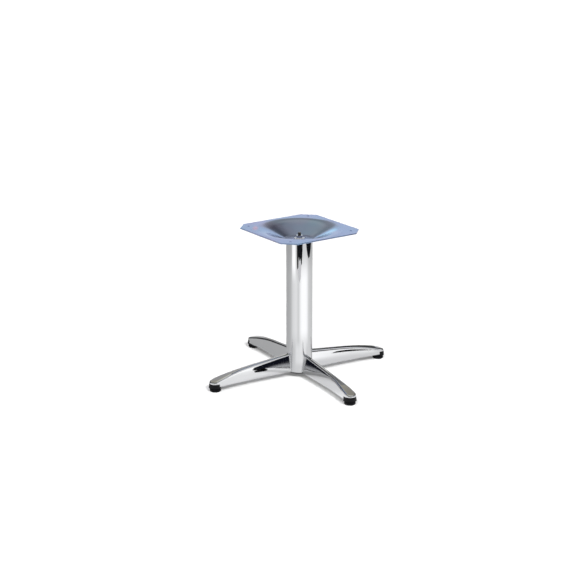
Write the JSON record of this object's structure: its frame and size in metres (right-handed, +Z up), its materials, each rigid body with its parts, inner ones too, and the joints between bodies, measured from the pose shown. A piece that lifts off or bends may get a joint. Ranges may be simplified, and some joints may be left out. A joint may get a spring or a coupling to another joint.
{
  "type": "coffee table base",
  "caption": "Low pedestal table base: chromed round column on a cross of pressed channel legs with levelling feet, and a dished square plate that a table top screws to.",
  "frame": {"origin": "on the floor, under the column's axis, at the centre of the footprint", "axes": "+Z up along the column; +X and +Y each along a leg"},
  "size_m": [0.5932, 0.5932, 0.4415],
  "materials": {
    "chrome": "polished chrome plate",
    "plated_sheet": "bright bluish zinc plate on pressed sheet",
    "zinc_steel": "zinc-plated fastener steel",
    "dark_steel": "plain oiled threaded rod",
    "black_paint": "semi-gloss black paint",
    "black_plastic": "moulded black polypropylene, fine grain"
  },
  "bodies": {
    "base": {"top_plate": "plated_sheet", "column_tube": "chrome", "tie_rod": "dark_steel", "top_washer": "zinc_steel", "top_nut": "zinc_steel", "clamp_cup": "black_paint", "bottom_washer": "zinc_steel", "bottom_nut": "zinc_steel", "leg_a": "chrome", "nose_cap_a": "black_plastic", "thread_insert_a": "zinc_steel", "leg_b": "chrome", "nose_cap_b": "black_plastic", "thread_insert_b": "zinc_steel", "leg_c": "chrome", "nose_cap_c": "black_plastic", "thread_insert_c": "zinc_steel", "leg_d": "chrome", "nose_cap_d": "black_plastic", "thread_insert_d": "zinc_steel"},
    "foot_a": {"glide_pad_a": "black_plastic", "glide_stud_a": "zinc_steel"},
    "foot_b": {"glide_pad_b": "black_plastic", "glide_stud_b": "zinc_steel"},
    "foot_c": {"glide_pad_c": "black_plastic", "glide_stud_c": "zinc_steel"},
    "foot_d": {"glide_pad_d": "black_plastic", "glide_stud_d": "zinc_steel"}
  },
  "joints": [
    {"name": "foot_a_level", "type": "slide", "parent": "base", "child": "foot_a", "axis": [0, 0, 1], "range_m": [-0.008, 0]},
    {"name": "foot_b_level", "type": "slide", "parent": "base", "child": "foot_b", "axis": [0, 0, 1], "range_m": [-0.008, 0]},
    {"name": "foot_c_level", "type": "slide", "parent": "base", "child": "foot_c", "axis": [0, 0, 1], "range_m": [-0.008, 0]},
    {"name": "foot_d_level", "type": "slide", "parent": "base", "child": "foot_d", "axis": [0, 0, 1], "range_m": [-0.008, 0]}
  ]
}
